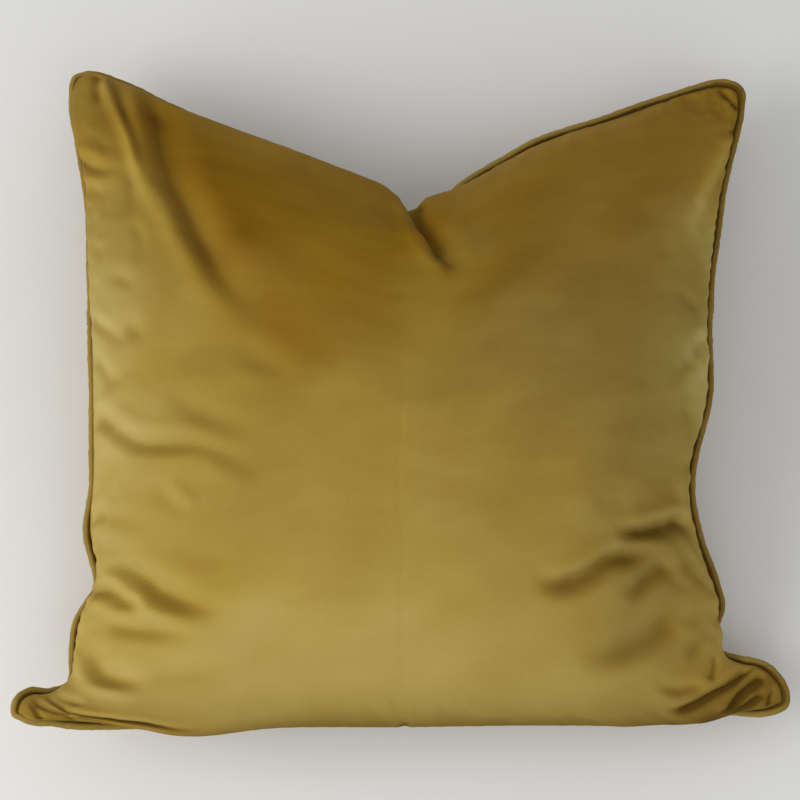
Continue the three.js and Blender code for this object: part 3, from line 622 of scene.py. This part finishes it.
# Cloth simulation of both panels, sewn at the rim: the seam and the resting face stay put, the
# panels have a little more cloth than the shape needs, and pressure fills them. Its puckers are kept,
# and the broad swelling is taken off again, because the crown already has its measured height.
def simulate(front, back, x, y):
    cells = front.shape[0] - 1
    frontNumbers, backNumbers = gridNumbers(cells)
    start = pointsOf(front, back)
    trial = objectOf(meshFrom("trial", start, coverQuads(cells)))
    rim = [frontNumbers[0], frontNumbers[-1], frontNumbers[:, 0], frontNumbers[:, -1]]
    resting = backNumbers[back[..., 2] < cloth["restingBelow"]]
    held = trial.vertex_groups.new(name="held")
    held.add(np.unique(np.concatenate(rim + [resting])).tolist(), 1, "REPLACE")
    gathered = trial.vertex_groups.new(name="gathered")
    fromSeam = cover["side"] / 2 - np.maximum(np.abs(x), np.abs(y))
    share = np.exp(-((fromSeam / cloth["seamBand"]) ** 2))
    for level in np.linspace(1 / cloth["weights"], 1, cloth["weights"]):
        band = np.abs(share - level) < cloth["weightReach"]
        numbers = np.union1d(frontNumbers[band], backNumbers[band])
        gathered.add(numbers.tolist(), float(level), "REPLACE")
    modifier = trial.modifiers.new("cloth", "CLOTH")
    settings = modifier.settings
    settings.quality = cloth["quality"]
    settings.mass = cloth["mass"] / len(start)
    settings.tension_stiffness = settings.compression_stiffness = cloth["stiffness"]
    settings.shear_stiffness = cloth["shear"]
    settings.bending_stiffness = cloth["bending"]
    settings.vertex_group_mass = "held"
    settings.vertex_group_shrink = "gathered"
    settings.shrink_min = -cloth["slackInside"]
    settings.shrink_max = -cloth["slackAtSeam"]
    settings.use_pressure = True
    settings.uniform_pressure_force = cloth["pressure"]
    settings.effector_weights.gravity = 0
    modifier.collision_settings.use_collision = False
    modifier.point_cache.frame_end = cloth["frames"]
    for number in range(1, cloth["frames"] + 1):
        scene.frame_set(number)
    evaluated = trial.evaluated_get(bpy.context.evaluated_depsgraph_get())
    end = np.empty(start.size)
    evaluated.data.vertices.foreach_get("co", end)
    moved = end.reshape(-1, 3) / mm - start
    bpy.data.objects.remove(trial)
    scene.frame_set(1)
    print("cloth moved %.1f mm at most" % np.linalg.norm(moved, axis=1).max())
    puckered = []
    for grid, numbers in ((front, frontNumbers), (back, backNumbers)):
        pucker = moved[numbers] - smoother(moved[numbers], cloth["swellPasses"])
        size = np.linalg.norm(pucker, axis=-1, keepdims=True)
        pucker *= cloth["cap"] * np.tanh(size / cloth["cap"]) / np.maximum(size, 1e-9)
        print("puckers %.2f mm on average, %.1f at most" % (size.mean(), size.max()))
        pucker *= np.exp(-((fromSeam / cloth["puckerBand"]) ** 2))[..., None]
        puckered.append(grid + pucker * (rippled(x, y)[..., None] if numbers is frontNumbers else 1))
    return puckered


# Twice as fine along both axes: each new point is 9/16 of both neighbours less 1/16 of the next two.
def finer(grid):
    for axis in (0, 1):
        grid = np.moveaxis(grid, axis, 0)
        padded = np.concatenate([2 * grid[:1] - grid[1:2], grid, 2 * grid[-1:] - grid[-2:-1]])
        between = (9 * (padded[1:-2] + padded[2:-1]) - padded[:-3] - padded[3:]) / 16
        longer = np.empty((2 * len(grid) - 1,) + grid.shape[1:])
        longer[::2], longer[1::2] = grid, between
        grid = np.moveaxis(longer, 0, axis)
    return grid


# The panels, with their folds and gathers set along their own normals, as one closed mesh.
def makeCover():
    front, back, x, y = panelGrids(cover["cells"])
    front, back = simulate(front, back, x, y)
    front, back, x, y = finer(front), finer(back), finer(x), finer(y)
    inset = cover["side"] / 2 - np.maximum(np.abs(x), np.abs(y))
    height, pull, dark = foldShape(x, y)
    height *= np.clip(inset / cover["foldsFrom"], 0, 1)
    height += gatherHeight(x, y, gathers["seed"]) * rippled(x, y)
    front = front + normalsOf(smoother(front, cover["normalPasses"])) * height[..., None]
    front[..., :2] += pull * np.clip(inset / cover["lapsFrom"], 0, 1)[..., None]
    under = gatherHeight(x, y, gathers["seed"] + 1) * np.clip(back[..., 2] / cover["freeFrom"], 0, 1)
    back = back - normalsOf(smoother(back, cover["normalPasses"])) * under[..., None]
    back[..., 2] = np.maximum(back[..., 2], 0)
    mesh = meshFrom("cushionCover", pointsOf(front, back), coverQuads(2 * cover["cells"]))
    # The tone painted on the front: brushed tone and painted light and shade from the bands and patches,
    # painted light and shade from the folds, less the shade painted in the folds and beside the piping.
    lies, bloom = brushedAndShaded(x, y)
    lies = paintedFoldShading(front, 1) + lies - dark
    lies -= pile["inSeam"] * np.exp(-((inset / pile["seamReach"]) ** 2))
    measurePanels(mesh, x, y)
    paintPoints(mesh, "pile", pointsOf(lies, paintedFoldShading(back, -1) + pile["backLies"]))
    paintPoints(mesh, "bloom", pointsOf(bloom, 0 * x))
    return objectOf(mesh)


# Painted light and shade from the folds: minus the folds' own part of the normal's y and x, each by its
# weight, so paler where a fold faces down or left, minus the depth below the cloth around as painted shade,
# kept within the limit by a hyperbolic tangent.
def paintedFoldShading(grid, outward):
    broad = normalsOf(smoother(grid, pile["broadPasses"])) * outward
    fine = normalsOf(smoother(grid, pile["foldPasses"])) * outward
    own = fine - broad
    sunk = ((smoother(grid, pile["troughPasses"]) - grid) * fine).sum(-1)
    turned = -pile["byFoldHeight"] * own[..., 1] - pile["byFoldSide"] * own[..., 0]
    turned -= pile["inTrough"] * np.clip(sunk, *pile["troughLimits"])
    turned = np.where(turned > 0, pile["paleSide"], 1) * turned
    return pile["foldLimit"] * np.tanh(turned / pile["foldLimit"])


# The tone and tint, as brushed and as painted light and shade: the bands' values at each place, plus each
# patch's values times a bell curve of the distance over its reach. Sine waves bend their edges.
def brushedAndShaded(x, y):
    sideways = pile["wander"] * (np.sin(y / 17 + x / 41) + np.sin(y / 29 - x / 37 + 2))
    upright = pile["wander"] * (np.sin(x / 19 - y / 47 + 1) + np.sin(x / 31 + y / 43))
    x, y = x + sideways, y + upright * stepBetween(y, *pile["wanderFrom"])
    height, *values = zip(*pile["bands"])
    place = y + pile["slant"] * x * stepBetween(y, *pile["slantFrom"])
    total = np.stack([np.interp(place, height, value) for value in values], -1)
    for middleX, middleY, across, along, *adds in pile["patches"]:
        away = ((x - middleX) / across) ** 2 + ((y - middleY) / along) ** 2
        total += np.exp(-away)[..., None] * adds
    return np.moveaxis(smoother(total, pile["brushPasses"]), -1, 0)


# Flat measure of the panels as a UV map in metres from the centre, with the back panel beside the
# front one.
def measurePanels(mesh, x, y):
    front = np.stack([x, y], -1).reshape(-1, 2) * mm
    back = front + (cover["backBeside"] * cover["side"] * mm, 0)
    quads = quadsOf(np.arange(x.size).reshape(x.shape))
    corners = np.concatenate([front[quads], back[quads[:, ::-1]]])
    mesh.uv_layers.new(name="flat").data.foreach_set("uv", corners.astype(np.float32).ravel())


# A value for each point of a mesh, which its material reads by name.
def paintPoints(mesh, name, values):
    mesh.attributes.new(name, "FLOAT", "POINT").data.foreach_set("value", values.astype(np.float32))


piping = {
    "diameter": 6,
    "step": 2.2,
    "around": 20,
    "joins": {"left": 12, "right": 4},  # which of the sides' points the two strips meet at
    "lap": 9,  # how long one strip's end covers the other's
    "sleeve": 0.55,  # how much wider the covering end is
    "sleeveFade": 6,
    "roundEnd": 1.6,
    "sway": 0.35,  # how far the cord wanders from the seam's line
    "swayFrom": 30,  # nothing at the ends, all of it this far in
    "swayWaves": (71, 43, 57),  # lengths, the first across the cushion's edge and the others up and down
    "wrinkle": 0.13,
    "wrinkleWaves": [(31, 0.6), (17, 0.8), (9.5, 0.9), (6.1, 0.6)],  # lengths and shares of the wrinkle
    "shortWaves": 10,  # waves shorter than this are stronger at the joins
    "joinWrinkle": 1.2,  # by this much
    "joinReach": 14,
    "phaseDrift": 1.5,  # how far all waves drift to and fro, in radians
    "phaseReach": 43,
    "crests": 0.02,  # paler on the crests of the wrinkles
    "rim": 0.12,  # painted sheen along its outer side
    "groove": 0.4,  # painted shade down in the seam
    "grooveEdge": 0.7,
    "shadedSide": 0.2,  # darker where it faces away from the window
    "bloom": 0.5,
    # How far the piping rolls under the edge of the front panel: share of the side, and degrees.
    "roll": {
        "top": [(0, 50), (0.03, 75), (0.3, 75), (0.36, 40), (0.45, 0), (1, 0)],
        "right": [(0, 0), (1, 0)],
        "bottom": [(0, 0), (0.78, 0), (0.84, 85), (0.97, 85), (1, 40)],
        "left": [(0, 40), (0.05, 0), (0.52, 0), (0.58, 75), (0.9, 75), (1, 50)],
    },
    "strips": {
        "pipingUpper": {"node": "piping_upper", "between": ("left", "right"), "over": 1, "seed": 3},
        "pipingLower": {"node": "piping_lower", "between": ("right", "left"), "over": 0, "seed": 4},
    },
}


# How far the piping is rolled under at each seam parameter, between the turns of all four sides.
def rollAt(t):
    bounds = [firstOf[side] for side in seam] + [seamCount]
    table = [
        (low + share * (high - low), turn)
        for turns, low, high in zip(piping["roll"].values(), bounds, bounds[1:])
        for share, turn in turns
    ]
    return np.radians(np.interp(t % seamCount, *zip(*table)))[:, None]


# Seam parameters at both ends of a strip: the joins on its two sides, and half a lap past them.
def stripEnds(sides):
    first, last = (firstOf[side] + piping["joins"][side] for side in sides)
    last += seamCount if last < first else 0
    ends = np.array([first, last], float)
    speed = np.linalg.norm(seamAt(ends + 0.01) - seamAt(ends - 0.01), axis=1) / 0.02
    return ends + np.array([-1, 1]) * piping["lap"] / 2 / speed


# Rings of points round a strip of piping: a circle whose radius ripples along its length, wider at the
# ends where it covers the other strip, and rounded off like a quarter circle. Its middle follows the
# seam, rolled about the line where the panels meet, and sways by three sine waves. Also the middle,
# the ripple, the angle round the cord and the direction inwards, for the mesh and its paint.
def pipingRings(strip):
    rng = np.random.default_rng(strip["seed"])
    first, last = stripEnds(strip["between"])
    length = np.linalg.norm(np.diff(seamAt(np.linspace(first, last, 2000)), axis=0), axis=1).sum()
    steps = int(length / piping["step"])
    t = alongSeam(first, last, np.linspace(0, 1, steps + 1), seamAt)
    along, inward = seamFrame(t)
    upward = np.cross(inward, along)
    travelled = np.linspace(0, length, steps + 1)[:, None]
    fromEnd = np.minimum(travelled, length - travelled)
    roll = rollAt(t)
    middle = seamAt(t) + cover["edgeInset"] * (inward * (1 - np.cos(roll)) - upward * np.sin(roll))
    sway = piping["sway"] * smoothStep(fromEnd / piping["swayFrom"])
    for wave, direction in zip(piping["swayWaves"], (inward, upward, upward)):
        middle = middle + direction * sway * np.sin(travelled / wave * 2 * np.pi + rng.uniform(0, 6))
    angle = np.linspace(0, 2 * np.pi, piping["around"], endpoint=False)
    atJoin = 1 + piping["joinWrinkle"] * np.exp(-fromEnd / piping["joinReach"])
    drift = piping["phaseDrift"] * np.sin(travelled / piping["phaseReach"])
    ripple = np.zeros((steps + 1, piping["around"]))
    for wave, strength in piping["wrinkleWaves"]:
        phase, slant = rng.uniform(0, 2 * np.pi), rng.uniform(-1, 1)
        if wave < piping["shortWaves"]:
            strength = strength * atJoin
        ripple += strength * np.sin(2 * np.pi * travelled / wave + phase + drift + slant * angle)
    radius = piping["diameter"] / 2 + piping["wrinkle"] * ripple
    pastLap = (fromEnd - piping["lap"]) / piping["sleeveFade"]
    radius += strip["over"] * piping["sleeve"] * (1 - smoothStep(pastLap))
    tip = 1 - np.clip(fromEnd / piping["roundEnd"], 0, 1)
    radius *= np.sqrt(np.clip(1 - tip**2, 0.02, 1))
    across, up = np.cos(angle)[None, :, None], np.sin(angle)[None, :, None]
    rings = middle[:, None] + (-inward[:, None] * across + upward[:, None] * up) * radius[..., None]
    return rings, middle, ripple, angle, inward


# A strip's rings joined by four-sided faces, and closed at both ends by a fan of triangles. Its tone is
# paler on the crests of the wrinkles, with a painted sheen along the outer side, and painted shade in the
# groove and on the side of the cushion away from the window.
def makePiping(name, strip):
    rings, middle, ripple, angle, inward = pipingRings(strip)
    numbers = np.arange(ripple.size).reshape(ripple.shape)
    closed = np.concatenate([numbers, numbers[:, :1]], 1)
    points = np.concatenate([rings.reshape(-1, 3), middle[:1], middle[-1:]])
    start, end = len(points) - 2, len(points) - 1
    caps = [(int(a), int(b), start) for a, b in zip(closed[0, 1:], closed[0, :-1])]
    caps += [(int(a), int(b), end) for a, b in zip(closed[-1, :-1], closed[-1, 1:])]
    mesh = bpy.data.meshes.new(name)
    mesh.from_pydata((points * mm).tolist(), [], quadsOf(closed).tolist() + caps)
    mesh.polygons.foreach_set("use_smooth", np.ones(len(mesh.polygons), bool))
    mesh.update()
    lies = 0.5 + piping["crests"] * ripple + piping["rim"] * np.cos(angle)
    lies = lies - piping["groove"] * smoothStep(-np.cos(angle) / piping["grooveEdge"])
    lies -= piping["shadedSide"] * smoothStep(-inward[:, :1])
    paintPoints(mesh, "pile", np.concatenate([lies.ravel(), [0.5, 0.5]]))
    paintPoints(mesh, "bloom", np.full(len(points), piping["bloom"]))
    return objectOf(mesh)


# A socket of a material, so that sums and products of sockets are written as plain expressions.
class Wire:
    def __init__(self, tree, socket=None):
        self.tree = tree
        self.socket = socket

    # A new node: its settings first, a ramp's stops among them, then the values or links of its sockets.
    def node(self, kind, settings={}, inputs={}, output=0):
        made = self.tree.nodes.new("ShaderNode" + kind)
        for name, value in settings.items():
            if name == "stops":
                elements = made.color_ramp.elements
                elements.remove(elements[1])
                elements[0].position, elements[0].color = value[0][0], (*value[0][1], 1)
                for place, colour in value[1:]:
                    elements.new(place).color = (*colour, 1)
            else:
                setattr(made, name, value)
        for name, value in inputs.items():
            if isinstance(value, Wire):
                self.tree.links.new(value.socket, made.inputs[name])
            else:
                made.inputs[name].default_value = value
        return Wire(self.tree, made.outputs[output])

    def maths(self, operation, *values):
        return self.node("Math", {"operation": operation}, dict(enumerate(values)))

    def __add__(self, other):
        return self.maths("ADD", self, other)

    def __radd__(self, other):
        return self.maths("ADD", other, self)

    def __sub__(self, other):
        return self.maths("SUBTRACT", self, other)

    def __rsub__(self, other):
        return self.maths("SUBTRACT", other, self)

    def __mul__(self, other):
        return self.maths("MULTIPLY", self, other)

    def __rmul__(self, other):
        return self.maths("MULTIPLY", other, self)


# A material with its Principled shader's fixed values set, and a wire to build its nodes from.
def newMaterial(name, fixed):
    material = bpy.data.materials.new(name)
    material.use_nodes = True
    shader = material.node_tree.nodes["Principled BSDF"]
    for socket, value in fixed.items():
        shader.inputs[socket].default_value = value
    return material, shader, Wire(material.node_tree)


velvet = {
    # the colour for each value of the tone, which holds the pile's lie and painted light and shade
    "lies": [
        (0, (0.105, 0.057, 0.006)), (0.15, (0.185, 0.108, 0.014)), (0.3, (0.235, 0.146, 0.025)),
        (0.5, (0.305, 0.206, 0.040)), (0.75, (0.385, 0.284, 0.075)), (1, (0.47, 0.366, 0.135)),
    ],
    "cloudSize": 0.11,  # of the brushed clouds, in metres
    "cloudStrength": 0.26,
    "streakSize": 0.026,
    "streakStrength": 0.22,
    "streakShape": (0.4, 1, 1),  # drawn out sideways
    "bloomGreen": 0.1,  # how much more green the full tint and painted sheen gives
    "bloomBlue": 0.5,
    "tufts": 1100,  # to a metre
    "tuftStrength": 0.6,
    "lumps": 260,
    "bumpStrength": 0.35,
    "bumpHeight": 0.0006,
    "onPiping": -0.16,  # painted shade: how much darker the piping's tone is set
    "fixed": {
        "Roughness": 0.85,
        "Specular IOR Level": 0.06,
        "Sheen Weight": 0.12,
        "Sheen Roughness": 0.4,
        "Sheen Tint": (1, 0.82, 0.35, 1),
    },
}


# Cotton velvet: the painted tone, which holds the pile's lie and painted light and shade, clouded and
# streaked by noise, picks the colour from deep gold to pale gold, and the tint and painted sheen add green
# and blue. A fine bump stands for the tufts. The noise follows the flat measure of the panels, and on the
# piping the place. The shift moves the whole tone, darker on the piping as painted shade.
def velvetMaterial(name, shift):
    material, shader, paint = newMaterial(name, velvet["fixed"])
    place = paint.node("TexCoord", {}, {}, 3)
    flat = paint.node("UVMap", {"uv_map": "flat"}) if name == "velvet" else place
    lies = paint.node("Attribute", {"attribute_name": "pile"}, {}, 2)
    clouds = paint.node("TexNoise", {}, {"Vector": flat, "Scale": 1 / velvet["cloudSize"], "Detail": 3})
    wide = paint.node("Mapping", {"vector_type": "POINT"}, {"Vector": flat, "Scale": velvet["streakShape"]})
    streaks = paint.node("TexNoise", {}, {"Vector": wide, "Scale": 1 / velvet["streakSize"], "Detail": 4})
    lies = lies + (clouds - 0.5) * velvet["cloudStrength"] + (streaks - 0.5) * velvet["streakStrength"]
    colour = paint.node("ValToRGB", {"stops": velvet["lies"]}, {"Fac": lies + shift})
    bloom = paint.node("Attribute", {"attribute_name": "bloom"}, {}, 2)
    green, blue = bloom * velvet["bloomGreen"] + 1, bloom * velvet["bloomBlue"] + 1
    tint = paint.node("CombineXYZ", {}, {"X": 1, "Y": green, "Z": blue})
    colour = paint.node("VectorMath", {"operation": "MULTIPLY"}, {0: colour, 1: tint})
    material.node_tree.links.new(colour.socket, shader.inputs["Base Color"])
    tufts = paint.node("TexNoise", {}, {"Vector": place, "Scale": velvet["tufts"], "Detail": 2})
    lumps = paint.node("TexNoise", {}, {"Vector": place, "Scale": velvet["lumps"], "Detail": 2})
    bump = paint.node("Bump", {}, {
        "Strength": velvet["bumpStrength"],
        "Distance": velvet["bumpHeight"],
        "Height": tufts * velvet["tuftStrength"] + lumps,
    })
    material.node_tree.links.new(bump.socket, shader.inputs["Normal"])
    return material


print("making the cover")
coverPiece = makeCover()
coverPiece.data.materials.append(velvetMaterial("velvet", 0))
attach(coverPiece, "root")
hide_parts("cushion_cover")

print("making the piping")
# The piping takes the same velvet with its tone shifted darker, as painted shade.
pipingMaterial = velvetMaterial("pipingVelvet", velvet["onPiping"])
for name, strip in piping["strips"].items():
    piece = makePiping(name, strip)
    piece.data.materials.append(pipingMaterial)
    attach(piece, "root")
    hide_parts(strip["node"])

# The photo looks level at a cushion that leans back by 12 degrees, from 1.9 m, so the camera stands
# 12 degrees below the face's own normal. Metres from here on.
stage = {
    "floorSize": 8,
    "floorHeight": -0.0005,  # just under the resting face
    "floorLook": {"Base Color": (0.74, 0.74, 0.73, 1), "Roughness": 0.9, "Specular IOR Level": 0.1},
    "lights": {
        "window": {"place": (-1.6, -0.4, 1.2), "size": 1.4, "power": 24, "colour": (1, 0.98, 0.94)},
        "fill": {"place": (0.6, -1.4, 1.8), "size": 2.0, "power": 10, "colour": (1, 1, 1)},
    },
    "litPoint": (0, 0, 0.08),
    "roomLight": 0.55,
    "lens": 114.2,
    "eye": (-0.0037, -0.3878, 1.8485),
    "tilt": 12,
}

print("setting the stage")
bpy.ops.mesh.primitive_plane_add(size=stage["floorSize"], location=(0, 0, stage["floorHeight"]))
floor = bpy.context.object
floor.name = "floor"
floor.data.materials.append(newMaterial("floorPaint", stage["floorLook"])[0])

for name, lamp in stage["lights"].items():
    light = bpy.data.lights.new(name, "AREA")
    light.size = lamp["size"]
    light.energy = lamp["power"]
    light.color = lamp["colour"]
    stand = bpy.data.objects.new(name, light)
    stand.location = lamp["place"]
    towards = Vector(stage["litPoint"]) - Vector(lamp["place"])
    stand.rotation_euler = towards.to_track_quat("-Z", "Y").to_euler()
    scene.collection.objects.link(stand)
world = bpy.data.worlds.new("room")
scene.world = world
world.use_nodes = True
room = world.node_tree.nodes["Background"].inputs
room["Color"].default_value = (1, 1, 1, 1)
room["Strength"].default_value = stage["roomLight"]
scene.view_settings.view_transform = "Standard"

camera = bpy.data.cameras.new("camera")
camera.lens = stage["lens"]
eye = bpy.data.objects.new("camera", camera)
eye.location = stage["eye"]
eye.rotation_euler = (radians(stage["tilt"]), 0, 0)
scene.collection.objects.link(eye)
scene.camera = eye
